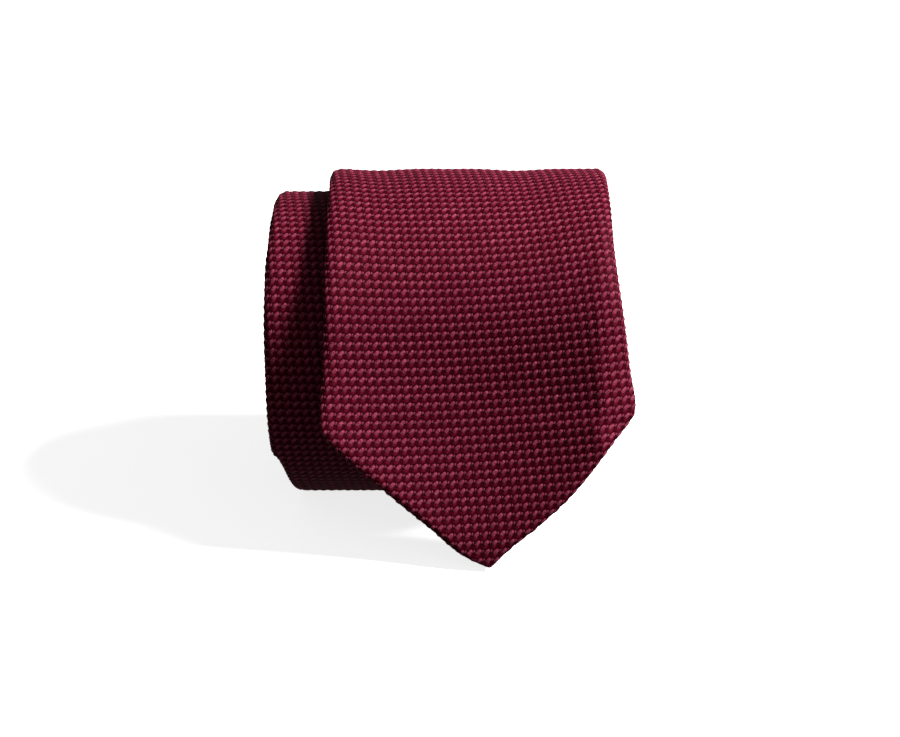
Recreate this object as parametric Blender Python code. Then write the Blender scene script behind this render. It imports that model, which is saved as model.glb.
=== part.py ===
"""A woven silk necktie rolled up on its side with the wide blade hanging in front.
The tie is one strip wound on a spiral about the X axis. Every point of it is set by
s (distance along the strip from the blade's tip), x (across the strip) and h (out from
the strip's middle surface, positive towards the tie's face). Metres, +Z up."""

import math

import bpy
import numpy as np

# cloth
HALF = 0.0016  # half the folded thickness
WALL = 0.0005  # silk
FOLD = 0.0008  # run of the folded edge
SLIT = 0.00045  # half the gap where the two back borders meet
INSET = 0.0021  # folded edge to interlining
THREAD = 0.00015  # half a thread
LAYER_GAP = 0.0006  # between two turns of the spiral
INNER_GAP = 0.0003  # between the silk and what it holds
LINING_GAP = 0.00025  # beside the tipping, the tacks and the loop
LINING = 0.0003  # tipping and label
LOOP_THICK = 0.0007
PAD = HALF - WALL - INNER_GAP  # half the interlining
# overall
LEAN = math.radians(20.0)  # how far the hanging blade leans back from upright
HANG = 0.0590  # straight length of blade below the roll's front
R_CREST = 0.0377  # centreline radius one turn in from the hanging blade
R_CORE = 0.0025  # centreline radius at the tail's point
PITCH = 2 * HALF + LAYER_GAP  # spiral, per turn
OUTER_RISE = ((-360, 0), (-250, 0.0029), (-155, 0.0045), (-80, 0.0051), (0, 0.0057))  # last turn above R_CREST
SETTLED = 0.0036  # centre's height above R_CREST
TIP_CLEAR = 0.0005  # least height of the blade's point
ROLL_Y, SHIFT_X = 0.008885, 0.000582  # put the footprint's centre at the origin
ROLL_Z = max(
    R_CREST + SETTLED,
    HANG * math.cos(LEAN) - (R_CREST + OUTER_RISE[-1][1]) * math.sin(LEAN) + TIP_CLEAR,
)
# places along the strip
BLADE_OPEN, TAIL_OPEN = 0.120, 0.070  # where the back borders meet
NECK_PIECE, TAIL_PIECE = 0.320, 0.3695  # lengths of silk beyond the blade's
SEAM_GAP = 0.00045
TACK_GAP = 0.0035  # bar tack to the first slip stitch
# hinges of the last turn, degrees round the spiral
HINGES = (-225, -195, -165, -135, -105, -75, -45, -15)
CUT = 0.00015
# back of the last turn
LOOP_HALF, LOOP_WIDTH = 0.0235, 0.0104
LABEL_HALF, LABEL_WIDTH = 0.021, 0.017

# edges of the strip: distance along, place across
RIGHT = (
    (0, 0.0100), (0.0055, 0.01585), (0.00975, 0.0215), (0.0185, 0.0311), (0.032, 0.0417),
    (0.0390, 0.0465), (0.0410, 0.04675), (0.050, 0.0452), (0.0575, 0.0440), (0.0825, 0.0412),
    (0.125, 0.0406), (0.20, 0.0330), (0.328, 0.0159), (0.39, 0.0156), (0.50, 0.0105),
    (0.60, 0.0065), (0.70, 0.0040), (0.80, 0.0030), (0.95, 0.0030), (1.10, 0.0040),
    (1.25, 0.0060), (1.40, 0.0078), (1.4636, 0.0082),
)
LEFT = (
    (0, 0.0100), (0.00275, 0.0040), (0.010, -0.0050), (0.0175, -0.01425), (0.0335, -0.0317),
    (0.0360, -0.0326), (0.0575, -0.0316), (0.125, -0.0313), (0.20, -0.0368), (0.265, -0.0438),
    (0.300, -0.0474), (0.328, -0.0479), (0.345, -0.0474), (0.39, -0.0447), (0.50, -0.0385), (0.60, -0.0345), (0.70, -0.0320),
    (0.80, -0.0310), (0.95, -0.0310), (1.10, -0.0320), (1.25, -0.0340), (1.40, -0.0358),
    (1.4636, -0.0362),
)
TAIL_POINT = 0.0225  # the tail's pointed end, along the strip


def curve(knots, value):
    """Smooth curve through the knots, with no overshoot."""
    t = np.array([k[0] for k in knots], float)
    y = np.array([k[1] for k in knots], float)
    d = np.diff(y) / np.diff(t)
    m = np.concatenate([[d[0]], (d[:-1] + d[1:]) / 2, [d[-1]]])
    for i in range(1, len(m) - 1):
        m[i] = 0 if d[i - 1] * d[i] <= 0 else math.copysign(min(abs(m[i]), 2 * abs(d[i]), 2 * abs(d[i - 1])), m[i])
    i = int(np.clip(np.searchsorted(t, value) - 1, 0, len(t) - 2))
    w = t[i + 1] - t[i]
    u = min(max((value - t[i]) / w, 0), 1)
    return (
        (1 + 2 * u) * (1 - u) ** 2 * y[i] + u * (1 - u) ** 2 * w * m[i]
        + u * u * (3 - 2 * u) * y[i + 1] + u * u * (u - 1) * w * m[i + 1]
    )


def radius(degrees):
    if degrees <= -360:
        return R_CREST + PITCH * (degrees + 360) / 360
    return R_CREST + curve(OUTER_RISE, degrees)


# the strip's middle line, from the blade's tip to the tail's tip
N0 = np.array([-math.cos(LEAN), math.sin(LEAN)])
T0 = np.array([-math.sin(LEAN), -math.cos(LEAN)])
FIRST = -360 - 360 * (R_CREST - R_CORE) / PITCH
ANGLE = np.arange(0, FIRST - 1, -0.5)
LINE = []
for a in ANGLE:
    q = math.radians(a)
    p = np.array([ROLL_Y, ROLL_Z]) + radius(a) * (N0 * math.cos(q) + T0 * math.sin(q))
    LINE.append((p[0], max(p[1], HALF) if a > -360 else p[1]))
LINE = np.array(LINE)
RUN = HANG + np.concatenate([[0], np.cumsum(np.hypot(*np.diff(LINE, axis=0).T))])
ALONG = np.gradient(LINE, RUN, axis=0)
ALONG[0] = -T0
ALONG /= np.hypot(*ALONG.T)[:, None]
OUT = np.stack([-ALONG[:, 1], ALONG[:, 0]], axis=1)
LENGTH = float(RUN[-1])
SEAM_TAIL = LENGTH - TAIL_PIECE
SEAM_BLADE = SEAM_TAIL - NECK_PIECE


def s_at(degrees):
    return float(np.interp(-degrees, -ANGLE, RUN))


def on_line(s):
    """The middle line's point at s, and its outward direction."""
    if s < HANG:
        return [*(LINE[0] + (HANG - s) * T0), *N0]
    return [float(np.interp(s, RUN, column)) for column in (*LINE.T, *OUT.T)]


def place(s, x, h):
    """A point on the faceted strip: every piece bends at the same stations."""
    y, z, ny, nz = (float(np.interp(s, GRID, column)) for column in FACETED)
    return (x + SHIFT_X, y + h * ny, z + h * nz)


def edges(s):
    """(left, right) of the strip at s, with the tail's point at its end."""
    left, right = curve(LEFT, s), curve(RIGHT, s)
    end = LENGTH - s
    if end < TAIL_POINT:
        middle, part = (left + right) / 2, max(end, 0) / TAIL_POINT
        left, right = middle + (left - middle) * part, middle + (right - middle) * part
    return left, right


def opening(s):
    """Half the gap between the back borders: a kite near each end, closed between."""
    for along, near, widest, closed, border in (
        (s, 0.016, 0.042, BLADE_OPEN, 0.017),
        (LENGTH - s, 0.010, 0.023, TAIL_OPEN, 0.011),
    ):
        if near < along < closed:
            at = widest if along == s else LENGTH - widest
            left, right = edges(at)
            most = (right - left) / 2 - border
            if along < widest:
                return SLIT + (most - SLIT) * (along - near) / (widest - near)
            return SLIT + (most - SLIT) * (closed - along) / (closed - widest)
    return SLIT


GRID = [0.0, 0.0035, 0.010, 0.0175, 0.025, 0.0335, 0.0365, 0.0405, 0.050]
GRID += [s_at(a) for a in (*range(0, -1080, -15), -239, -261)]
GRID += [s_at(a) for a in range(-1080, int(FIRST) - 30, -30) if a > FIRST + 12]
GRID += [LENGTH - d for d in (0, 0.003, 0.009, 0.0225)]
GRID = sorted(GRID)
FACETED = np.array([on_line(s) for s in GRID]).T


def stations(start, end):
    inside = [s for s in GRID if start + 0.0008 < s < end - 0.0008]
    return [start, *inside, end]


def material(name, colour, roughness):
    made = bpy.data.materials.new(name)
    made.use_nodes = True
    shader = made.node_tree.nodes["Principled BSDF"]
    shader.inputs["Base Color"].default_value = (*colour, 1.0)
    shader.inputs["Roughness"].default_value = roughness
    shader.inputs["Metallic"].default_value = 0.0
    return made


def body(name, at, parent=None):
    """An empty on a joint's axis, which the pieces of one moving length hang from."""
    empty = bpy.data.objects.new(name + "_axis", None)
    empty.empty_display_size = 0.01
    TIE.objects.link(empty)
    empty.parent = parent
    empty["at"] = at
    empty.location = [a - b for a, b in zip(at, parent["at"] if parent else (0, 0, 0))]
    return empty


def solid(name, holder, cloth, rings):
    """A closed loft through unlike rings of (s, x, h) points, capped at both ends."""
    n = len(rings[0])
    origin = np.array(holder["at"])
    points = [np.array(place(*p)) - origin for ring in rings for p in ring]
    faces = []
    for j in range(len(rings) - 1):
        for i in range(n):
            a, b = j * n + i, j * n + (i + 1) % n
            faces += [(a, b, b + n), (a, b + n, a + n)]
    half = n // 2
    for first, turn in ((0, True), ((len(rings) - 1) * n, False)):
        for i in range(half - 1):
            quad = [first + i, first + i + 1, first + n - 2 - i, first + n - 1 - i]
            if turn:
                quad = quad[::-1]
            faces += [(quad[0], quad[1], quad[2]), (quad[0], quad[2], quad[3])]
    corner = np.array(points)[np.array(faces)]
    if np.einsum("ij,ij->i", corner[:, 0], np.cross(corner[:, 1], corner[:, 2])).sum() < 0:
        faces = [f[::-1] for f in faces]
    mesh = bpy.data.meshes.new(name)
    mesh.from_pydata(points, [], faces)
    mesh.update()
    mesh.materials.append(cloth)
    mesh.shade_smooth()
    mesh.set_sharp_from_angle(angle=math.radians(30))
    piece = bpy.data.objects.new(name, mesh)
    TIE.objects.link(piece)
    piece.parent = holder
    return piece


def shell_ring(s, at=None, scale=1.0):
    left, right = edges(s)
    middle, gap = (left + right) / 2, opening(s)
    low, high, side, run = -HALF, HALF, FOLD, WALL * 0.5
    outer = [
        (middle + gap, low), (right - side, low), (right, 0), (right - side, high),
        (left + side, high), (left, 0), (left + side, low), (middle - gap, low),
    ]
    inner = [
        (middle + gap, low + WALL), (right - side - run, low + WALL), (right - 1.3 * WALL, 0),
        (right - side - run, high - WALL), (left + side + run, high - WALL), (left + 1.3 * WALL, 0),
        (left + side + run, low + WALL), (middle - gap, low + WALL),
    ]
    ring = outer + inner[::-1]
    where = s if at is None else at
    return [(where, middle + (x - middle) * scale, h * scale) for x, h in ring]


def shell(name, holder, start, end, blade_tip=False, tail_tip=False):
    """The silk, wrapped round to the slit at the back."""
    rings = [shell_ring(s) for s in stations(start, end)]
    if blade_tip:
        rings.insert(0, [(q, x + curve(RIGHT, 0) - middle(start), h) for q, x, h in shell_ring(start, 0.0004, 0.15)])
    if tail_tip:
        rings.append(shell_ring(end, LENGTH - 0.0004, 0.15))
    solid(name, holder, SILK, rings)


def plate(name, holder, cloth, where, left, right, low, high):
    """A flat strip lying along the tie. left, right, low and high are numbers or functions of s."""
    def value(f, s):
        return f(s) if callable(f) else f
    solid(name, holder, cloth, [
        [
            (s, value(left, s), value(low, s)), (s, value(right, s), value(low, s)),
            (s, value(right, s), value(high, s)), (s, value(left, s), value(high, s)),
        ]
        for s in where
    ])


def inset(s):
    return INSET + (0.0011 if s < 0.041 or LENGTH - s < TAIL_POINT else 0)


def lined(s):
    """Where tipping lies over the interlining."""
    return s < TIPPING_TO + 0.0008 or LENGTH - s < TAIL_TIPPING + 0.0008


TIPPING_TO = BLADE_OPEN - 0.0053
TAIL_TIPPING = TAIL_OPEN - 0.007
LINING_LOW = WALL + LINING_GAP - HALF


def interlining(name, holder, start, end):
    steps = (TIPPING_TO + 0.0004, TIPPING_TO + 0.0012, LENGTH - TAIL_TIPPING - 0.0012, LENGTH - TAIL_TIPPING - 0.0004)
    steps = [s for s in steps if start + 0.0003 < s < end - 0.0003]
    where = [s for s in stations(start, end) if all(abs(s - t) > 0.0002 for t in steps)]
    plate(
        name, holder, WOOL, sorted(where + steps),
        lambda s: edges(s)[0] + inset(s), lambda s: edges(s)[1] - inset(s),
        lambda s: LINING_LOW + LINING + LINING_GAP if lined(s) else -PAD, PAD,
    )


def tipping(name, holder, start, end):
    plate(
        name, holder, SATIN, stations(start, end),
        lambda s: edges(s)[0] + inset(s), lambda s: edges(s)[1] - inset(s),
        LINING_LOW, LINING_LOW + LINING,
    )


def middle(s):
    return sum(edges(s)) / 2


def slip_stitch(name, holder, start, end):
    plate(
        name, holder, SEWING, stations(start, end),
        lambda s: middle(s) - THREAD, lambda s: middle(s) + THREAD,
        -HALF + WALL / 2 - THREAD, -HALF + WALL / 2 + THREAD,
    )


def bar_tack(name, holder, s):
    plate(
        name, holder, SEWING, [s, s + 0.0012], lambda q: middle(s) - 0.0035, lambda q: middle(s) + 0.0035,
        -HALF - LINING_GAP - 0.0002, -HALF - LINING_GAP,
    )


for obj in list(bpy.data.objects):
    bpy.data.objects.remove(obj)
TIE = bpy.data.collections.new("rolled_necktie")
bpy.context.scene.collection.children.link(TIE)
SILK = material("burgundy_silk", (0.085, 0.004, 0.016), 0.55)
WOOL = material("wool_interlining", (0.58, 0.54, 0.45), 0.9)
SATIN = material("tipping_satin", (0.050, 0.003, 0.010), 0.4)
SEWING = material("sewing_thread", (0.10, 0.006, 0.020), 0.5)
RIBBON = material("label_ribbon", (0.020, 0.005, 0.008), 0.5)

CUTS = [s_at(a) for a in HINGES]  # from the roll outwards, so s falls

# the rolled length
rolled = body("rolled_length", (SHIFT_X, ROLL_Y, ROLL_Z))
shell("tail_shell", rolled, SEAM_TAIL + SEAM_GAP, LENGTH - 0.003, tail_tip=True)
shell("neck_shell", rolled, SEAM_BLADE + SEAM_GAP, SEAM_TAIL - SEAM_GAP)
shell("blade_shell_rolled", rolled, CUTS[0] + CUT, SEAM_BLADE - SEAM_GAP)
interlining("interlining_rolled", rolled, CUTS[0] + CUT, LENGTH - 0.008)
slip_stitch("slip_stitch_rolled", rolled, CUTS[0] + CUT, LENGTH - TAIL_OPEN - TACK_GAP)
tipping("tail_tipping", rolled, LENGTH - TAIL_TIPPING, LENGTH - 0.007)
bar_tack("tail_bar_tack", rolled, LENGTH - TAIL_OPEN - 0.0012)
for name, s in (("piecing_seam_blade_to_neck", SEAM_BLADE), ("piecing_seam_neck_to_tail", SEAM_TAIL)):
    plate(
        name, rolled, SEWING, [s - THREAD, s + THREAD], lambda q: edges(q)[0] + 0.0014, lambda q: edges(q)[1] - 0.0014,
        HALF - WALL, HALF - WALL + 2 * THREAD,
    )

# the last turn, in seven hinged lengths, and the hanging blade
holder = rolled
for k in range(1, 9):
    holder = body(f"turn_{k}" if k < 8 else "hanging_blade", place(CUTS[k - 1], -SHIFT_X, HALF + 0.0001), holder)
    if k == 8:
        break
    start, end = CUTS[k] + CUT, CUTS[k - 1] - CUT
    shell(f"blade_shell_turn_{k}", holder, start, end)
    interlining(f"interlining_turn_{k}", holder, start, end)
    if BLADE_OPEN + TACK_GAP < end - 0.001:
        slip_stitch(f"slip_stitch_turn_{k}", holder, max(start, BLADE_OPEN + TACK_GAP), end)
    if start < TIPPING_TO - 0.001:
        tipping(f"blade_tipping_turn_{k}", holder, start, min(end, TIPPING_TO))
    if CUTS[k] <= BLADE_OPEN < CUTS[k - 1]:
        bar_tack("blade_bar_tack", holder, BLADE_OPEN)
    if k == 1:  # label across the middle of this length
        LABEL = (start + end - LABEL_WIDTH) / 2
        plate(
            "back_label", holder, RIBBON, stations(LABEL, LABEL + LABEL_WIDTH),
            lambda s: middle(LABEL) - LABEL_HALF, lambda s: middle(LABEL) + LABEL_HALF,
            -HALF - LINING_GAP - LINING, -HALF - LINING_GAP,
        )
    if k == 3:  # keeper loop across the middle of this length, tacked at both ends
        LOOP = (start + end - LOOP_WIDTH) / 2
        plate(
            "keeper_loop", holder, SILK, stations(LOOP, LOOP + LOOP_WIDTH),
            lambda s: middle(s) - LOOP_HALF, lambda s: middle(s) + LOOP_HALF,
            -HALF - INNER_GAP - LOOP_THICK, -HALF - INNER_GAP,
        )
        for name, side in (("keeper_tack_left", -1), ("keeper_tack_right", 1)):
            at = side * (LOOP_HALF + 0.0007)
            plate(
                name, holder, SEWING, stations(LOOP + 0.001, LOOP + LOOP_WIDTH - 0.001),
                lambda s, at=at: middle(s) + at - 0.0004, lambda s, at=at: middle(s) + at + 0.0004,
                -HALF - LINING_GAP - 0.00065, -HALF - LINING_GAP,
            )
shell("blade_shell_hanging", holder, 0.0035, CUTS[7] - CUT, blade_tip=True)
interlining("interlining_hanging", holder, 0.010, CUTS[7] - CUT)
tipping("blade_tipping_hanging", holder, 0.010, CUTS[7] - CUT)
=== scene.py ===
"""The looks of a rolled silk necktie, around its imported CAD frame. Metres, +Z up.

The tie is one strip wound round the X axis. Every piece of it is placed by s, along the strip
from the blade's tip, x, across it, and h, out from its middle surface towards the face."""

import math

import bpy
import numpy as np
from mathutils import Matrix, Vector


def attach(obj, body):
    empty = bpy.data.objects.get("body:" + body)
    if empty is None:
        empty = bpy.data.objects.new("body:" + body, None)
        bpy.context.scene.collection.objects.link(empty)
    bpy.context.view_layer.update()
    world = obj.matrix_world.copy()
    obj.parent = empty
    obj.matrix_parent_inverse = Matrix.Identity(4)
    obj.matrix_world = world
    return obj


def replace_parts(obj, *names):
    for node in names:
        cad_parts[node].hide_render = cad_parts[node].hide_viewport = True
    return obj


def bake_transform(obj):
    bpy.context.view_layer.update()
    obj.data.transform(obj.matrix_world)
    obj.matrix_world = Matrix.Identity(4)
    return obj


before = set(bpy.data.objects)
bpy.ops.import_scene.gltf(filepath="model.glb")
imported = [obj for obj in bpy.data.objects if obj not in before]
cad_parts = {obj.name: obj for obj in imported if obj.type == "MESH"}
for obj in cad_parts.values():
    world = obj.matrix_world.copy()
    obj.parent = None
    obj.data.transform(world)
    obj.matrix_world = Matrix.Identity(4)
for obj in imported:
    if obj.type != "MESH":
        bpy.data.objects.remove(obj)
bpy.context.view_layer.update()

# ---------------------------------------------------------------- the strip's sizes
LEAN = math.radians(20.0)  # of the hanging blade, from upright
HANG = 0.0590  # straight length of blade
ROLL_Y, ROLL_Z = 0.008885, 0.0413  # the roll's axis
SHIFT_X = 0.000582  # row frame's x of the strip's x = 0
PITCH, R_CORE, R_CREST = 0.0038, 0.0025, 0.0377  # growth per turn, radius of the core and at -360
OUTER_TURN = (  # from there to the hanging blade: degrees round the spiral, radius
    (-360, 0.0377), (-285, 0.0386), (-270, 0.0394), (-250, 0.0406), (-155, 0.0422), (-80, 0.0428),
    (0, 0.0434),
)
HALF = 0.0016  # half the folded thickness
SNUG = 0.00015  # the rolled turns fill out by this, so that they touch,
SNUG_RUN = 0.02  # growing to it over this length
SLIT = 0.00012  # half the gap where the back borders meet
BLADE_POINT, TAIL_POINT = 0.041, 0.0225  # how long the two points are
BLADE_OPEN, TAIL_OPEN = 0.120, 0.070  # where the back borders meet, from each point
NECK_PIECE, TAIL_PIECE = 0.320, 0.3695  # lengths of silk beyond the blade's
NOSE = 0.007  # the strip's ends thin down over this
# the outline: distance along the strip, x of the edge
RIGHT = (
    (0, 0.0100), (0.0055, 0.01585), (0.00975, 0.0213), (0.0185, 0.0307), (0.032, 0.0413),
    (0.0390, 0.0464), (0.0410, 0.04675), (0.050, 0.0454), (0.0575, 0.0445), (0.0825, 0.0416),
    (0.125, 0.0406), (0.20, 0.0330), (0.328, 0.0159), (0.39, 0.0156), (0.50, 0.0105),
    (0.60, 0.0065), (0.70, 0.0040), (0.80, 0.0030), (0.95, 0.0030), (1.10, 0.0040),
    (1.25, 0.0060), (1.40, 0.0078), (1.4636, 0.0082),
)
LEFT = (
    (0, 0.0100), (0.00275, 0.0040), (0.010, -0.0050), (0.0175, -0.01425), (0.0335, -0.0317),
    (0.0360, -0.0326), (0.0575, -0.0316), (0.125, -0.0313), (0.20, -0.0368), (0.265, -0.0422),
    (0.2800, -0.0444), (0.2845, -0.0462), (0.300, -0.0468), (0.328, -0.0472), (0.345, -0.0466),
    (0.39, -0.0445), (0.50, -0.0385), (0.60, -0.0345), (0.70, -0.0320), (0.80, -0.0310),
    (0.95, -0.0310), (1.10, -0.0320), (1.25, -0.0340), (1.40, -0.0358), (1.4636, -0.0362),
)
# how far in from the edge the face starts to roll over, along each side
ROLL_RIGHT = (
    (0, 0.0016), (0.01, 0.0030), (0.030, 0.0058), (0.041, 0.0078), (0.055, 0.0068), (0.085, 0.0036),
    (0.12, 0.0022), (1.6, 0.0018),
)
ROLL_LEFT = (
    (0, 0.0016), (0.01, 0.0026), (0.035, 0.0036), (0.06, 0.0034), (0.13, 0.0030), (0.20, 0.0026),
    (1.6, 0.0018),
)
ROLL_BACK = 0.0016  # and how far in the back does
MOST_ROLL, MOST_ROLL_BACK, MOST_GAP = 0.42, 0.40, 0.10  # as shares of the strip's width
# the blade's bow off the plain strip: LEFT, RIGHT and FOLD are shares of the blade's width
BOW_WIDTH = 0.078
BOW_SPAN = (0.036, 0.13)  # the stretch whose outline it follows
BOW_LEFT, BOW_RIGHT = 0.42, 0.38  # the hollow, on each side of the middle
BOW_FOLD, FOLD_REACH, FULL_FOLD = 0.066, 1.15, 0.0085  # the right edge, turned back
BOW_OUT = 0.0042  # the whole blade, off the roll
BOW_TIP, TIP_REACH = 0.0040, 0.045  # the tip, lifted
BOW_FADE = ((0, 1), (0.030, 1), (0.045, 0.85), (0.059, 0.6), (0.08, 0.34), (0.10, 0.14), (0.125, 0))
# slow waves on the upper turn, with a ripple across them: height, wavelength and what moves it on
SWELL, SWELL_LENGTH, SWELL_SHIFT = 0.00022, 0.0375, 0.0105
RIPPLE, RIPPLE_LENGTH, RIPPLE_SLANT = 0.00010, 0.0181, 40
SWELL_START, SWELL_STOP, SWELL_FADE = 0.07, 0.17, 0.03
# openings in the back, each a kite: where it starts and is widest, and the border left there
BLADE_KITE, BLADE_BORDER = (0.016, 0.042), 0.017
TAIL_KITE, TAIL_BORDER = (0.010, 0.023), 0.011


def curve(knots, values):
    """Smooth curve through the knots, with no overshoot."""
    t = np.array([k[0] for k in knots], float)
    y = np.array([k[1] for k in knots], float)
    d = np.diff(y) / np.diff(t)
    m = np.concatenate([[d[0]], (d[:-1] + d[1:]) / 2, [d[-1]]])
    least = np.minimum(np.abs(d[:-1]), np.abs(d[1:])) * 2
    turns_back = d[:-1] * d[1:] <= 0
    m[1:-1] = np.where(turns_back, 0, np.sign(m[1:-1]) * np.minimum(np.abs(m[1:-1]), least))
    v = np.asarray(values, float)
    i = np.clip(np.searchsorted(t, v) - 1, 0, len(t) - 2)
    w = t[i + 1] - t[i]
    u = np.clip((v - t[i]) / w, 0, 1)
    return (
        (1 + 2 * u) * (1 - u) ** 2 * y[i] + u * (1 - u) ** 2 * w * m[i]
        + u * u * (3 - 2 * u) * y[i + 1] + u * u * (u - 1) * w * m[i + 1]
    )


# the winding: N0 points out of the hanging blade's face, and T0 down along it
N0 = np.array([-math.cos(LEAN), math.sin(LEAN)])
T0 = np.array([-math.sin(LEAN), -math.cos(LEAN)])
CENTRE = np.array([ROLL_Y, ROLL_Z])
FIRST = -360 - 360 * (R_CREST - R_CORE) / PITCH
ANGLE = np.arange(0, FIRST - 1, -0.5)
SPIRAL = R_CREST + PITCH * (ANGLE + 360) / 360
RADIUS = np.where(ANGLE <= -360, SPIRAL, curve(OUTER_TURN, np.clip(ANGLE, -360, 0)))
Q = np.radians(ANGLE)[:, None]
LINE = CENTRE + RADIUS[:, None] * (N0 * np.cos(Q) + T0 * np.sin(Q))
LINE[:, 1] = np.where(ANGLE > -360, np.maximum(LINE[:, 1], HALF), LINE[:, 1])
RUN = HANG + np.concatenate([[0], np.cumsum(np.hypot(*np.diff(LINE, axis=0).T))])
ALONG = np.gradient(LINE, RUN, axis=0)
ALONG[0] = -T0
ALONG /= np.hypot(*ALONG.T)[:, None]
OUT = np.stack([-ALONG[:, 1], ALONG[:, 0]], axis=1)
LENGTH = float(RUN[-1])
SEAM_TAIL = LENGTH - TAIL_PIECE
SEAM_BLADE = SEAM_TAIL - NECK_PIECE


def s_at(degrees):
    return float(np.interp(-degrees, -ANGLE, RUN))


HINGES = (-225, -195, -165, -135, -105, -75, -45, -15)  # degrees round the spiral
STATION = [s_at(a - 15) for a in HINGES] + [s_at(0)]  # between the hinges, from the roll outwards


def edges(s):
    left, right = curve(LEFT, s), curve(RIGHT, s)
    part = np.clip((LENGTH - s) / TAIL_POINT, 0, 1)
    middle = (left + right) / 2
    return middle + (left - middle) * part, middle + (right - middle) * part


def middle_of(s):
    left, right = edges(s)
    return (left + right) / 2


def bow(s, x):
    """How far the blade bows off the plain strip: hollow in the middle, its left edge lifted
    and its right edge less so, fading out over the top of the roll."""
    left, right = edges(np.clip(s, *BOW_SPAN))
    u = np.clip((x - left) / (right - left), -0.05, 1.05)
    hollow_right = -0.25 * BOW_LEFT + BOW_RIGHT * (u - 0.5) ** 2
    shape = np.where(u < 0.5, -BOW_LEFT * (u - u * u), hollow_right)
    band = curve(ROLL_RIGHT, s) * FOLD_REACH
    into_fold = np.clip((x - right + band) / band, 0, 1.1) ** 1.2
    shape = shape - BOW_FOLD * into_fold * np.clip(band / FULL_FOLD, 0, 1) ** 1.5
    tip = BOW_TIP * (np.clip(TIP_REACH - s, 0, 1) / TIP_REACH) ** 1.6
    return tip + (BOW_WIDTH * shape + BOW_OUT) * np.interp(s, *zip(*BOW_FADE))


def place(s, x, h):
    """Points in the row frame, for arrays of s, x and h."""
    s, x, h = np.broadcast_arrays(*(np.asarray(a, float) for a in (s, x, h)))
    flat, h = np.maximum(HANG - s, 0), h + bow(s, x)
    y, z, ny, nz = (np.interp(s, RUN, c) for c in (*LINE.T, *OUT.T))
    straight = s < HANG
    ny, nz = np.where(straight, N0[0], ny), np.where(straight, N0[1], nz)
    y, z = y + flat * T0[0] + h * ny, z + flat * T0[1] + h * nz
    return np.stack([x + SHIFT_X, y, z], axis=-1)


def swell(s, x):
    """Slow waves on the upper turn."""
    slow = SWELL * np.sin(2 * math.pi * (x + SWELL_SHIFT) / SWELL_LENGTH)
    quick = RIPPLE * np.sin(2 * math.pi * x / RIPPLE_LENGTH + RIPPLE_SLANT * s)
    fade_in = np.clip((s - SWELL_START) / SWELL_FADE, 0, 1)
    return (slow + quick) * fade_in * np.clip((SWELL_STOP - s) / SWELL_FADE, 0, 1)


def opening(s):
    """Half the gap between the back borders: a kite near each end."""

    def half(at):
        left, right = edges(at)
        return (right - left) / 2

    blade = half(BLADE_KITE[1]) - BLADE_BORDER
    tail = half(LENGTH - TAIL_KITE[1]) - TAIL_BORDER
    tail_places = [LENGTH - TAIL_OPEN, LENGTH - TAIL_KITE[1], LENGTH - TAIL_KITE[0]]
    return np.maximum(
        np.interp(s, [*BLADE_KITE, BLADE_OPEN], [SLIT, blade, SLIT]),
        np.interp(s, tail_places, [SLIT, tail, SLIT]),
    )


# ---------------------------------------------------------------- the weave
CELL_X, CELL_S = 0.00218, 0.0022
# the columns lean, and the rows bend down towards one side
COLUMN_LEAN = 0.119
ROW_BEND, ROW_BEND_FROM, ROW_BEND_SPAN = 0.94, -0.0225, 0.07
# the four threads of a cell: centre across and down it, half length, half width, slant
FLOAT = (0.48, 0.46, 0.45, 0.225, 38.0)
FLECK = (0.00, 0.35, 0.18, 0.105, 60.0)
SKIRT = (0.36, 0.78, 0.36, 0.24, 48.0)
UNDER = (0.00, 0.86, 0.26, 0.13, -30.0)
RELIEF = 0.00025
HEIGHT_JITTER, FLECK_HEIGHT, SKIRT_HEIGHT, UNDER_HEIGHT = 0.16, 0.66, 0.50, 0.25
# shares of RELIEF: how deep its zero level is, what stands for it, and the least at the strip's ends
RELIEF_SINK, RELIEF_PLAIN, RELIEF_LEAST = 0.6, 0.9, 0.2


def cells(s, w):
    """Weave coordinates, in cells, of a point s along and w across the unfolded cloth."""
    down = -np.asarray(s)
    u = (w - COLUMN_LEAN * down) / CELL_X
    v = (down + ROW_BEND * np.clip(w - ROW_BEND_FROM, 0, ROW_BEND_SPAN) ** 2) / CELL_S
    return u, v


def dome(u, v, spec):
    """Height 0 to 1 of one rounded thread crossing per cell."""
    cu, cv, along, across, slant = spec
    du = (u - cu + 0.5) % 1 - 0.5
    dv = (v - cv + 0.5) % 1 - 0.5
    c, n = math.cos(math.radians(slant)), math.sin(math.radians(slant))
    p, q = du * c - dv * n, du * n + dv * c
    return np.clip(1 - np.abs(p / along) ** 3.5 - np.abs(q / across) ** 2, 0, 1) ** 0.85


def jitter(u, v, seed):
    """A repeatable value from -1 to 1 for each cell."""
    a = np.sin(np.floor(u) * 12.9898 + np.floor(v) * 78.233 + seed) * 43758.5453
    return 2 * (a - np.floor(a)) - 1


def relief(u, v):
    lift = 1 + HEIGHT_JITTER * jitter(u, v, 1.0)
    return np.maximum.reduce([
        dome(u, v, FLOAT) * lift,
        FLECK_HEIGHT * dome(u, v, FLECK),
        SKIRT_HEIGHT * dome(u, v, SKIRT),
        UNDER_HEIGHT * dome(u, v, UNDER),
    ])


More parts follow.
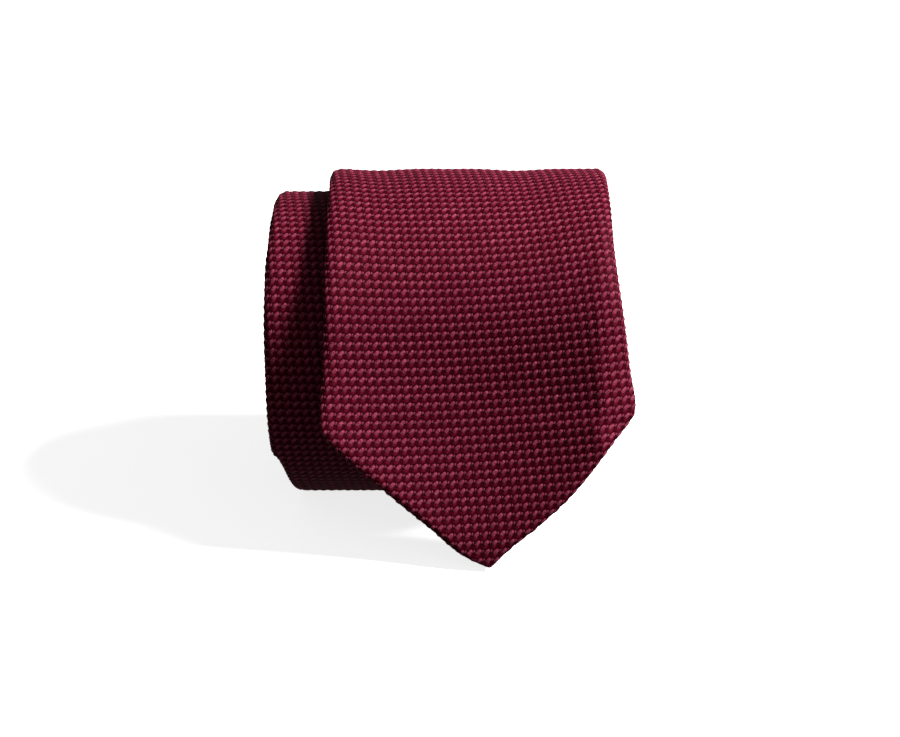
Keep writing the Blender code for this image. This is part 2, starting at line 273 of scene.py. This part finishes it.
# ---------------------------------------------------------------- materials
class Nodes:
    """Short names for building a material's nodes."""

    def __init__(self, name):
        self.material = bpy.data.materials.new(name)
        self.material.use_nodes = True
        self.tree = self.material.node_tree
        self.shader = self.tree.nodes["Principled BSDF"]

    def set(self, socket, value):
        if isinstance(value, bpy.types.NodeSocket):
            self.tree.links.new(value, socket)
        else:
            socket.default_value = value

    def put(self, kind, inputs=(), **settings):
        node = self.tree.nodes.new(kind)
        for key, value in settings.items():
            setattr(node, key, value)
        for key, value in dict(inputs).items():
            self.set(node.inputs[key], value)
        return node

    def math(self, operation, *values, clamp=False):
        node = self.put("ShaderNodeMath", enumerate(values), operation=operation, use_clamp=clamp)
        return node.outputs[0]

    def add(self, first, *others):
        for other in others:
            first = self.math("ADD", first, other)
        return first

    def times(self, first, other):
        return self.math("MULTIPLY", first, other)

    def mix(self, factor, a, b):
        node = self.put("ShaderNodeMix", data_type="RGBA")
        for index, value in ((0, factor), (6, a), (7, b)):
            is_colour = isinstance(value, tuple)
            self.set(node.inputs[index], (*value, 1.0) if is_colour else value)
        return node.outputs[2]

    def ramp(self, value, low, high):
        inputs = {"Value": value, "From Min": low, "From Max": high}
        return self.put("ShaderNodeMapRange", inputs, interpolation_type="SMOOTHSTEP").outputs[0]

    def noise(self, vector, scale, detail):
        inputs = {"Vector": vector, "Scale": scale, "Detail": detail}
        return self.put("ShaderNodeTexNoise", inputs).outputs["Fac"]

    def vector(self, x, y, z):
        return self.put("ShaderNodeCombineXYZ", {0: x, 1: y, 2: z}).outputs[0]

    def bump(self, height, strength, distance):
        inputs = {"Height": height, "Strength": strength, "Distance": distance}
        return self.put("ShaderNodeBump", inputs).outputs[0]

    def weave(self):
        """The mesh's weave coordinates."""
        return self.put("ShaderNodeAttribute", attribute_name="weave").outputs["Vector"]

    def surface(self, **values):
        for key, value in values.items():
            self.set(self.shader.inputs[key.replace("_", " ")], value)
        return self.material


def ellipse(n, u, v, spec):
    """(mask that falls from 1 at the centre to 0 at the rim, distance along the thread, distance
    across it)."""
    cu, cv, along, across, slant = spec
    c, k = math.cos(math.radians(slant)), math.sin(math.radians(slant))
    du = n.math("SUBTRACT", n.math("FRACT", n.add(u, 0.5 - cu)), 0.5)
    dv = n.math("SUBTRACT", n.math("FRACT", n.add(v, 0.5 - cv)), 0.5)
    p = n.math("SUBTRACT", n.times(du, c), n.times(dv, k))
    q = n.add(n.times(du, k), n.times(dv, c))
    p_part = n.math("POWER", n.math("ABSOLUTE", n.math("DIVIDE", p, along)), 3.5)
    q_part = n.math("POWER", n.math("ABSOLUTE", n.math("DIVIDE", q, across)), 2.5)
    return n.math("SUBTRACT", 1.0, n.add(p_part, q_part), clamp=True), p, q


# the silk, from its threads' lit backs, whose pink is a painted highlight, down to the gaps between them,
# darkened as painted shade
PAINTED_SHEEN = (0.190, 0.0340, 0.0590)
PAINTED_SHEEN_RANGE = (0.45, 1.60)  # shares of it, from the dimmest thread to the brightest
CRIMSON = (0.110, 0.0050, 0.0200)
PALE = (0.135, 0.0230, 0.0400)
BODY = (0.098, 0.0032, 0.0130)
# the ground yarn's own dark wine, darkened further as painted shade in the gaps between the floats
GROUND_YARN_AND_SHADE = (0.040, 0.0006, 0.0042)
DEEP_YARN_AND_SHADE = (0.014, 0.0007, 0.0023)
# tints of the highlights
SILK_GLOSS = (0.9, 0.16, 0.30, 1.0)
CLOTH_GLOSS = (1.0, 0.45, 0.55, 1.0)


def silk_material():
    n = Nodes("burgundy_silk_weave")
    weave = n.weave()
    split = n.put("ShaderNodeSeparateXYZ", {0: weave}).outputs
    wobble = n.put("ShaderNodeTexNoise", {"Vector": weave, "Scale": 0.9, "Detail": 1.0})
    shift = n.put("ShaderNodeSeparateColor", {0: wobble.outputs["Color"]}).outputs
    u, v = (n.add(split[i], n.times(n.math("SUBTRACT", shift[i], 0.5), 0.10)) for i in (0, 1))
    body, p, q = ellipse(n, u, v, FLOAT)
    fleck, under, skirt = (ellipse(n, u, v, spec)[0] for spec in (FLECK, UNDER, SKIRT))
    cell = n.vector(n.math("FLOOR", u), n.math("FLOOR", v), 0.0)
    dice = n.put("ShaderNodeTexWhiteNoise", {"Vector": cell}, noise_dimensions="3D").outputs["Value"]
    # fine yarns along each float, and the fibres in them
    yarn = n.math("SINE", n.times(q, 46.0))
    fibre = n.noise(n.vector(n.times(p, 3.0), n.times(q, 9.0), n.times(dice, 40.0)), 1.0, 3.0)
    tone = n.add(n.times(dice, 0.35), n.times(yarn, 0.14), n.times(n.ramp(fibre, 0.25, 0.75), 0.65))
    # the painted highlight: a pinkish sheen painted on each float, its strength varied from thread to
    # thread
    painted_sheen = n.mix(tone, *(tuple(c * share for c in PAINTED_SHEEN) for share in PAINTED_SHEEN_RANGE))
    # the gaps, whose dark yarn is darkened further as painted shade, then the yarn that each float rises
    # from, then the float
    ground = n.mix(n.noise(weave, 3.0, 3.0), DEEP_YARN_AND_SHADE, GROUND_YARN_AND_SHADE)
    gaps = n.mix(n.ramp(under, 0.0, 0.5), DEEP_YARN_AND_SHADE, GROUND_YARN_AND_SHADE)
    colour = n.mix(n.ramp(under, 0.0, 0.45), ground, gaps)
    colour = n.mix(n.ramp(skirt, 0.0, 0.5), colour, BODY)
    colour = n.mix(n.ramp(fleck, 0.0, 0.4), colour, PALE)
    colour = n.mix(n.ramp(body, 0.0, 0.30), colour, CRIMSON)
    broken = n.ramp(n.noise(weave, 7.0, 2.0), 0.28, 0.60)
    # the painted highlight covers the middle of each float, broken up at random
    colour = n.mix(n.times(n.ramp(body, 0.05, 0.70), broken), colour, painted_sheen)
    patches = n.math("SUBTRACT", n.noise(weave, 0.12, 2.0), 0.5, clamp=True)
    colour = n.mix(n.times(patches, 0.5), colour, GROUND_YARN_AND_SHADE)
    grain = n.add(0.60, n.times(n.ramp(n.noise(weave, 11.0, 3.0), 0.30, 0.70), 0.80))
    colour = n.put("ShaderNodeHueSaturation", {"Color": colour, "Value": grain}).outputs[0]
    threads = n.times(n.math("MAXIMUM", body, n.times(fleck, 0.6)), 0.7)
    height = n.add(threads, n.add(n.times(yarn, 0.05), n.times(fibre, 0.25)))
    return n.surface(
        Base_Color=colour,
        Roughness=n.add(0.42, n.times(fibre, 0.25)),
        Normal=n.bump(height, 0.55, 0.00018),
        Sheen_Weight=0.0,
        Specular_IOR_Level=0.06,
        Specular_Tint=SILK_GLOSS,
    )


def plain_material(name, colour, second, scale, rough, strength=0.4, sheen=0.0, shine=0.15):
    """Fine plain cloth: a crossed rib over a slow change of colour. Its weave coordinates are in
    millimetres."""
    n = Nodes(name)
    weave = n.weave()
    split = n.put("ShaderNodeSeparateXYZ", {0: weave}).outputs
    a, b = (n.math("SINE", n.times(split[i], scale * share)) for i, share in ((0, 1.0), (1, 0.83)))
    rib = n.add(n.times(n.times(a, b), 0.5), 0.5)
    tone = n.add(n.times(rib, 0.45), n.times(n.noise(weave, 2.7, 4.0), 0.55))
    return n.surface(
        Base_Color=n.mix(tone, colour, second),
        Roughness=rough,
        Normal=n.bump(tone, strength, 0.0001),
        Sheen_Weight=sheen,
        Specular_IOR_Level=shine,
        Specular_Tint=CLOTH_GLOSS,
    )


MATERIAL = {
    "silk": silk_material(),
    "interlining": plain_material(
        "wool_interlining", (0.50, 0.46, 0.38), (0.78, 0.74, 0.66), 5.0, 0.9, strength=0.9, sheen=0.3
    ),
    "tipping": plain_material(
        "tipping_lining", (0.075, 0.004, 0.014), (0.13, 0.010, 0.028), 30.0, 0.38, strength=0.2, shine=0.30
    ),
    "thread": plain_material(
        "sewing_thread", (0.13, 0.01, 0.03), (0.42, 0.07, 0.14), 22.0, 0.45, strength=0.6
    ),
    "label": plain_material(
        "blank_label_ribbon", (0.022, 0.003, 0.007), (0.060, 0.012, 0.020), 26.0, 0.5, strength=0.3
    ),
}


# ---------------------------------------------------------------- meshes
def new_mesh(name, points, faces):
    mesh = bpy.data.meshes.new(name)
    mesh.vertices.add(len(points))
    mesh.vertices.foreach_set("co", np.asarray(points, np.float32).ravel())
    faces = np.asarray(faces, np.int32)
    corners = faces.shape[1]
    mesh.loops.add(faces.size)
    mesh.loops.foreach_set("vertex_index", faces.ravel())
    mesh.polygons.add(len(faces))
    mesh.polygons.foreach_set("loop_start", np.arange(0, faces.size, corners, dtype=np.int32))
    mesh.update(calc_edges=True)
    mesh.polygons.foreach_set("use_smooth", np.ones(len(faces), bool))
    obj = bpy.data.objects.new(name, mesh)
    bpy.context.scene.collection.objects.link(obj)
    return obj


def finish_piece(obj, weave, slot):
    layer = obj.data.attributes.new("weave", "FLOAT_VECTOR", "POINT")
    layer.data.foreach_set("vector", np.asarray(weave, np.float32).ravel())
    obj.data.materials.append(MATERIAL[slot])
    return obj


def grid_faces(rows, columns, flip=False, around=False):
    last = columns if around else columns - 1
    i, j = np.meshgrid(np.arange(rows - 1), np.arange(last), indexing="ij")
    a, b = i * columns + j, i * columns + (j + 1) % columns
    quads = np.stack([a, b, b + columns, a + columns], axis=-1).reshape(-1, 4)
    return quads[:, ::-1] if flip else quads


def outward(points):
    along, across = np.gradient(points, axis=0), np.gradient(points, axis=1)
    n = np.cross(along, across)
    return n / np.maximum(np.linalg.norm(n, axis=-1, keepdims=True), 1e-12)


def normals_out(obj):
    mesh = obj.data
    mesh.calc_loop_triangles()
    points = np.empty(len(mesh.vertices) * 3, np.float32)
    mesh.vertices.foreach_get("co", points)
    points = points.reshape(-1, 3).astype(float)
    faces = np.empty(len(mesh.loop_triangles) * 3, np.int32)
    mesh.loop_triangles.foreach_get("vertices", faces)
    a, b, c = (points[faces.reshape(-1, 3)] - points.mean(0)).transpose(1, 0, 2)
    if np.einsum("ij,ij->i", a, np.cross(b, c)).sum() < 0:
        mesh.flip_normals()


def section(s, deep, middle_n, fold_n, back_n):
    """Across the folded silk at each s, from the slit round the right fold, over the face, round
    the left fold and back to the slit: x and h."""
    left, right = edges(s)
    middle, width = (left + right) / 2, right - left
    over_right = np.minimum(curve(ROLL_RIGHT, s), width * MOST_ROLL)
    over_left = np.minimum(curve(ROLL_LEFT, s), width * MOST_ROLL)
    under = np.minimum(ROLL_BACK, width * MOST_ROLL_BACK)
    gap = np.minimum(opening(s), width * MOST_GAP + np.clip(opening(s) - SLIT, 0, None))
    up = np.linspace(0, math.pi / 2, fold_n + 1)[None, :]
    down = up[:, ::-1]
    across = np.linspace(0, 1, back_n + 1)[None, :]
    flat = np.linspace(0, 1, middle_n + 1)[None, :]

    def border(edge, side):
        inner = middle + side * gap
        return inner + (edge - side * under - inner) * across, -deep + 0 * across

    start_x, stop_x = right - over_right, left + over_left
    stretches = (
        border(right, 1),
        (right - under * (1 - np.sin(up)), -deep * np.cos(up)),
        (right - over_right * (1 - np.cos(up)), deep * np.sin(up)),
        (start_x + (stop_x - start_x) * flat, deep + 0 * flat),
        (left + over_left * (1 - np.cos(down)), deep * np.sin(down)),
        (left + under * (1 - np.cos(up)), -deep * np.sin(up)),
    )
    last = border(left, -1)
    return (
        np.concatenate([part[i][:, :-1] for part in stretches] + [last[i][:, ::-1]], axis=1)
        for i in (0, 1)
    )


MM = 0.001  # unit of the plain cloths' weave coordinates
SHARP = math.radians(40)  # a slab's edges over this aren't smoothed


def silk(name, start, end, step, columns, with_relief=True):
    """The wrapped silk from start to end along the strip, as one open layer. columns is how many
    there are over the face, each quarter of a fold and each back border."""
    middle_n, fold_n, back_n = columns
    rows = max(int(math.ceil((end - start) / step)), 3)
    s = np.linspace(start, end, rows + 1)[:, None]
    nose = np.sqrt(np.clip(np.minimum(s, LENGTH - s) / NOSE, 0, 1))
    deep = (HALF + SNUG * np.clip((s - STATION[0]) / SNUG_RUN, 0, 1)) * nose
    x, h = section(s, deep, *columns)
    s = np.broadcast_to(s, x.shape)
    # w is the place across the unfolded cloth: x on the face, and arc length beyond the edges
    steps = np.hypot(np.diff(x, axis=1), np.diff(h, axis=1))
    arc = np.concatenate([np.zeros((rows + 1, 1)), np.cumsum(steps, axis=1)], axis=1)
    at = back_n + fold_n * 2 + middle_n // 2
    w = x[:, at:at + 1] - (arc - arc[:, at:at + 1])
    u, v = cells(s, w)
    if with_relief:
        lift = relief(u, v) * RELIEF * np.clip(nose, RELIEF_LEAST, 1)
    else:
        lift = RELIEF_PLAIN * RELIEF + 0 * h
    base = place(s, x, h)
    crown = swell(s, x) * np.clip(h / HALF, 0, 1)
    points = place(s, x, h + crown) + outward(base) * (lift - RELIEF_SINK * RELIEF)[..., None]
    obj = new_mesh(name, points.reshape(-1, 3), grid_faces(*x.shape, flip=True))
    return finish_piece(obj, np.stack([u, v, s], axis=-1), "silk")


def slab(name, where, left, right, low, high, slot, columns):
    """A closed flat piece lying along the strip. Its sides may be numbers or functions of s."""
    s = np.asarray(where, float)[:, None]
    sides = (f(s) if callable(f) else f for f in (left, right, low, high))
    left, right, low, high = (np.broadcast_to(side, s.shape) for side in sides)
    t = np.linspace(0, 1, columns + 1)[None, :]
    x = np.concatenate([left + (right - left) * t, right + (left - right) * t], axis=1)
    h = np.concatenate([low + 0 * t, high + 0 * t], axis=1)
    ring = x.shape[1]
    caps = []
    for first, flip in ((0, False), ((len(s) - 1) * ring, True)):
        for i in range(columns):
            quad = [first + i, first + i + 1, first + ring - 2 - i, first + ring - 1 - i]
            caps.append(quad if flip else quad[::-1])
    faces = np.concatenate([grid_faces(len(s), ring, around=True), np.array(caps)])
    obj = new_mesh(name, place(s, x, h).reshape(-1, 3), faces)
    normals_out(obj)
    obj.data.set_sharp_from_angle(angle=SHARP)
    across, down = (CELL_X, -CELL_S) if slot == "silk" else (MM, MM)
    weave = np.stack([x / across, np.broadcast_to(s, x.shape) / down, h / MM], axis=-1)
    return finish_piece(obj, weave, slot)


def thread(name, points, radius, sides=6):
    """A closed thread through points."""
    points = np.asarray(points, float)
    along = np.gradient(points, axis=0)
    along /= np.linalg.norm(along, axis=1, keepdims=True)
    side = np.cross(along, [1.0, 0.13, 0.21])
    side /= np.linalg.norm(side, axis=1, keepdims=True)
    other = np.cross(along, side)
    a = np.linspace(0, 2 * math.pi, sides, endpoint=False)[None, :, None]
    ring = points[:, None] + radius * (side[:, None] * np.cos(a) + other[:, None] * np.sin(a))
    count = len(points) * sides
    all_points = np.concatenate([ring.reshape(-1, 3), points[:1], points[-1:]])
    faces = [tuple(map(int, quad)) for quad in grid_faces(len(points), sides, around=True)]
    for i in range(sides):
        j = (i + 1) % sides
        faces += [(count, j, i), (count + 1, count - sides + i, count - sides + j)]
    mesh = bpy.data.meshes.new(name)
    mesh.from_pydata(all_points.tolist(), [], faces)
    mesh.polygons.foreach_set("use_smooth", np.ones(len(mesh.polygons), bool))
    obj = bpy.data.objects.new(name, mesh)
    bpy.context.scene.collection.objects.link(obj)
    normals_out(obj)
    return finish_piece(obj, all_points / MM, "thread")


def spaced(start, end, step):
    return np.linspace(start, end, max(int(math.ceil((end - start) / step)), 2) + 1)


def bend(obj, k):
    """obj is the piece over hinge k, between body k-1 and body k; the hinge's ends are worked out but not
    used, and obj's transform is baked into its mesh.
    """
    start, end = (tuple(map(float, place(STATION[i], 0.0, 0.0))) for i in (k - 1, k))
    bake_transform(obj)
    return obj


# ---------------------------------------------------------------- the silk
# columns over the face, in each quarter of a fold and over each back border
BLADE_COLUMNS, ROLLED_COLUMNS = (250, 16, 62), (170, 12, 50)
INNER_COLUMNS, NARROW_COLUMNS = (48, 8, 16), (36, 8, 14)
FINE, MIDDLING, ROLLED_STEP, INNER_STEP, NARROW_STEP = 0.00027, 0.00032, 0.00036, 0.0011, 0.0010
FIRST_FINE = 5  # hinges from this one on are in front
END_GAP, SEAM_GAP = 0.0004, 0.00015  # at the strip's two ends, and on each side of a piecing seam

hanging = silk("silk_hanging", END_GAP, STATION[8], FINE, BLADE_COLUMNS)
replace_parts(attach(hanging, "hanging_blade"), "blade_shell_hanging")
for k in range(1, 9):
    step = FINE if k >= FIRST_FINE else MIDDLING
    piece = bend(silk(f"silk_bend_{k}", STATION[k], STATION[k - 1], step, BLADE_COLUMNS), k)
    if k < 8:
        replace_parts(piece, f"blade_shell_turn_{k}")
turns = (STATION[0], s_at(-420), s_at(-600))
for k, (start, end) in enumerate(zip(turns, turns[1:]), 1):
    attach(silk(f"silk_rolled_{k}", start, end, ROLLED_STEP, ROLLED_COLUMNS), "rolled_length")
end = SEAM_BLADE - SEAM_GAP
inner = silk("silk_rolled_inner", turns[-1], end, INNER_STEP, INNER_COLUMNS, with_relief=False)
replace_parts(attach(inner, "rolled_length"), "blade_shell_rolled")
for name, start, end in (
    ("neck", SEAM_BLADE + SEAM_GAP, SEAM_TAIL - SEAM_GAP),
    ("tail", SEAM_TAIL + SEAM_GAP, LENGTH - END_GAP),
):
    piece = silk(f"silk_{name}", start, end, NARROW_STEP, NARROW_COLUMNS, with_relief=False)
    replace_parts(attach(piece, "rolled_length"), f"{name}_shell")

# ---------------------------------------------------------------- interlining and tipping
INSET, POINT_INSET = 0.0021, 0.0032  # folded edge to what the fold holds, and at the points
PAD, PAD_UNDER_SILK, PAD_UNDER_TIPPING = 0.0008, -0.0008, -0.0003
PAD_STEP_BEYOND = 0.004  # the interlining thickens this far past each opening
TIPPING_LOW, TIPPING_HIGH, TIPPING_BEYOND = -0.00085, -0.00055, 0.002
PAD_START, PAD_STOP, TIPPING_START, TIPPING_STOP = 0.0135, 0.008, 0.010, 0.007  # from the points
PAD_STEP, TIPPING_STEP, INSIDE_COLUMNS = 0.0015, 0.0012, 20


def inset(s):
    at_point = (s < BLADE_POINT) | (LENGTH - s < TAIL_POINT)
    return np.where(at_point, POINT_INSET, INSET)


def inner_left(s):
    return edges(s)[0] + inset(s)


def inner_right(s):
    return edges(s)[1] - inset(s)


def pad_low(s):
    opened = (s < BLADE_OPEN + PAD_STEP_BEYOND) | (LENGTH - s < TAIL_OPEN + PAD_STEP_BEYOND)
    return np.where(opened, PAD_UNDER_TIPPING, PAD_UNDER_SILK)


def filling(name, start, end):
    where, name = spaced(start, end, PAD_STEP), f"interlining_{name}"
    sides = (inner_left, inner_right, pad_low, PAD)
    return slab(name, where, *sides, "interlining", INSIDE_COLUMNS)


def lining(name, start, end):
    where, name = spaced(start, end, TIPPING_STEP), f"tipping_{name}"
    sides = (inner_left, inner_right, TIPPING_LOW, TIPPING_HIGH)
    return slab(name, where, *sides, "tipping", INSIDE_COLUMNS)


piece = filling("hanging_blade", PAD_START, STATION[8])
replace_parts(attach(piece, "hanging_blade"), "interlining_hanging")
piece = filling("roll", STATION[0], LENGTH - PAD_STOP)
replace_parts(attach(piece, "rolled_length"), "interlining_rolled")
for k in range(1, 9):
    piece = bend(filling(f"bend_{k}", STATION[k], STATION[k - 1]), k)
    if k < 8:
        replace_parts(piece, f"interlining_turn_{k}")
piece = lining("hanging_blade", TIPPING_START, STATION[8])
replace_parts(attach(piece, "hanging_blade"), "blade_tipping_hanging")
bend(lining("bend_8", STATION[8], STATION[7]), 8)
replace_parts(bend(lining("bend_7", STATION[7], STATION[6]), 7), "blade_tipping_turn_7")
piece = lining("bend_6", STATION[6], BLADE_OPEN + TIPPING_BEYOND)
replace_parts(bend(piece, 6), "blade_tipping_turn_6")
piece = lining("tail", LENGTH - TAIL_OPEN - TIPPING_BEYOND, LENGTH - TIPPING_STOP)
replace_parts(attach(piece, "rolled_length"), "tail_tipping")

# ---------------------------------------------------------------- stitching
STITCH, STITCH_REACH, STITCH_RADIUS, STITCH_STEP = 0.0052, 0.00050, 0.00013, 0.0004
STITCH_FLAT = 1.6  # over 1, so that the thread waits at each side
STITCH_TOP, STITCH_DIP = -HALF - 0.00016, 0.00036  # h where it crosses the slit, and how far it dips
TACK_REACH, TACK_LENGTH, TACK_RADIUS, TACK_PASSES = 0.0034, 0.0012, 0.00012, 5
TACK_H, TACK_WAVE = -HALF - 0.00030, 0.00005
TACK_GAP = 0.0035  # tail's opening to the first slip stitch
SEAM_INSET, SEAM_H, SEAM_WAVE, SEAM_WAVE_LENGTH = 0.0014, 0.00125, 0.00008, 0.0004


def stitch_line(name, start, end):
    """The slip stitch: thread that crosses the slit and dips under each border in turn."""
    s = spaced(start, end, STITCH_STEP)
    swing = np.clip(STITCH_FLAT * np.sin(2 * math.pi * s / STITCH), -1, 1)
    points = place(s, middle_of(s) + STITCH_REACH * swing, STITCH_TOP + STITCH_DIP * swing ** 2)
    return thread(f"stitch_{name}", points, STITCH_RADIUS)


def bar_tack(name, s):
    """One thread wound side by side across the opening's end."""
    t = np.linspace(0, 1, 121)
    x = middle_of(s) + TACK_REACH * (2 * np.abs((t * TACK_PASSES) % 2 - 1) - 1)
    h = TACK_H + TACK_WAVE * np.sin(40 * t)
    return thread(f"tack_{name}", place(s + TACK_LENGTH * t, x, h), TACK_RADIUS)


piece = stitch_line("roll", STATION[0], LENGTH - TAIL_OPEN - TACK_GAP)
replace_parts(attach(piece, "rolled_length"), "slip_stitch_rolled")
for k in range(1, 6):
    piece = stitch_line(f"bend_{k}", STATION[k], STATION[k - 1])
    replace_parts(bend(piece, k), f"slip_stitch_turn_{k}")
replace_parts(bend(bar_tack("blade", BLADE_OPEN), 6), "blade_bar_tack")
piece = bar_tack("tail", LENGTH - TAIL_OPEN - TACK_LENGTH)
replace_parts(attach(piece, "rolled_length"), "tail_bar_tack")
for name, s in (
    ("piecing_seam_blade_to_neck", SEAM_BLADE),
    ("piecing_seam_neck_to_tail", SEAM_TAIL),
):
    left, right = (float(edge) for edge in edges(s))
    x = np.linspace(left + SEAM_INSET, right - SEAM_INSET, 90)
    points = place(s + SEAM_WAVE * np.sin(x / SEAM_WAVE_LENGTH), x, SEAM_H)
    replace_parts(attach(thread(f"thread_{name}", points, TACK_RADIUS), "rolled_length"), name)

# ---------------------------------------------------------------- keeper loop and label
LOOP_HALF, LOOP_WIDTH, LOOP_LOW, LOOP_HIGH = 0.0235, 0.0104, -0.0026, -0.0019
LOOP = (s_at(-135) + s_at(-165) - LOOP_WIDTH) / 2  # midway between two hinges, as the label is
KEEPER_TACK_END, KEEPER_TACK_BESIDE, KEEPER_TACK_SWING = 0.001, 0.0005, 0.0005
KEEPER_TACK_H, KEEPER_TACK_RADIUS = -0.0023, 0.00014
LABEL_HALF, LABEL_WIDTH, LABEL_LOW, LABEL_HIGH = 0.021, 0.017, -0.00215, -0.00185
LABEL = (s_at(-195) + s_at(-225) - LABEL_WIDTH) / 2
LOOP_STEP, LOOP_COLUMNS, LABEL_STEP, LABEL_COLUMNS = 0.0006, 60, 0.0008, 40

loop = slab(
    "loop_band", spaced(LOOP, LOOP + LOOP_WIDTH, LOOP_STEP), lambda s: middle_of(s) - LOOP_HALF,
    lambda s: middle_of(s) + LOOP_HALF, LOOP_LOW, LOOP_HIGH, "silk", LOOP_COLUMNS,
)
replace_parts(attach(loop, "turn_3"), "keeper_loop")
for name, side in (("keeper_tack_left", -1), ("keeper_tack_right", 1)):
    t = np.linspace(0, 1, 91)
    s = LOOP + KEEPER_TACK_END + (LOOP_WIDTH - 2 * KEEPER_TACK_END) * t
    x = middle_of(s) + side * (LOOP_HALF + KEEPER_TACK_BESIDE) + KEEPER_TACK_SWING * np.sin(t * 70)
    piece = thread(f"thread_{name}", place(s, x, KEEPER_TACK_H), KEEPER_TACK_RADIUS)
    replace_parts(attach(piece, "turn_3"), name)
label_middle = middle_of(LABEL)
label = slab(
    "blank_back_label", spaced(LABEL, LABEL + LABEL_WIDTH, LABEL_STEP), label_middle - LABEL_HALF,
    label_middle + LABEL_HALF, LABEL_LOW, LABEL_HIGH, "label", LABEL_COLUMNS,
)
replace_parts(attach(label, "turn_1"), "back_label")

# ---------------------------------------------------------------- floor, light and camera
VIEW = np.array([0, *N0])
UP = np.array([0, math.sin(LEAN), math.cos(LEAN)])
AIM_OUT, AIM_DOWN = 0.045, 0.0087  # from the roll's middle
AIM = np.array([SHIFT_X, *CENTRE]) + AIM_OUT * VIEW - AIM_DOWN * UP
CAMERA_AWAY, CAMERA_LENS, CAMERA_SENSOR = 0.67, 107.2, 36.0
FLOOR_Z = -0.0002  # so that the weave's relief doesn't sink into it
WHITE = (1.0, 1.0, 1.0, 1.0)

bpy.ops.mesh.primitive_plane_add(size=6.0, location=(0, 0, FLOOR_Z))
floor = bpy.context.object
floor.name = "floor"
floor.data.materials.append(
    Nodes("pale_floor").surface(
        Base_Color=(0.80, 0.80, 0.80, 1.0),
        Roughness=0.9,
        Emission_Color=WHITE,
        Emission_Strength=0.80,
    )
)
floor.visible_diffuse = floor.visible_glossy = False

world = bpy.data.worlds.new("studio")
world.use_nodes = True
background = world.node_tree.nodes["Background"].inputs
background["Color"].default_value = WHITE
background["Strength"].default_value = 0.13
bpy.context.scene.world = world


def area_light(name, offset, size, power):
    """A square light at offset from the roll's middle, aimed at it."""
    light = bpy.data.lights.new(name, "AREA")
    light.size, light.energy = size, power
    obj = bpy.data.objects.new(name, light)
    obj.location = np.array([0, ROLL_Y, ROLL_Z]) + np.array(offset)
    obj.rotation_euler = (-Vector(offset)).to_track_quat("-Z", "Y").to_euler()
    bpy.context.scene.collection.objects.link(obj)


area_light("key", offset=(0.70, -0.152, 0.694), size=0.24, power=26.0)
area_light("fill", offset=(0.2, -0.9, 0.5), size=0.9, power=0.8)

camera = bpy.data.cameras.new("camera")
camera.sensor_width, camera.lens = CAMERA_SENSOR, CAMERA_LENS
eye = bpy.data.objects.new("camera", camera)
eye.location = AIM + CAMERA_AWAY * VIEW
eye.rotation_euler = (math.pi / 2 - LEAN, 0, 0)
bpy.context.scene.collection.objects.link(eye)
bpy.context.scene.camera = eye
bpy.context.scene.view_settings.view_transform = "Standard"
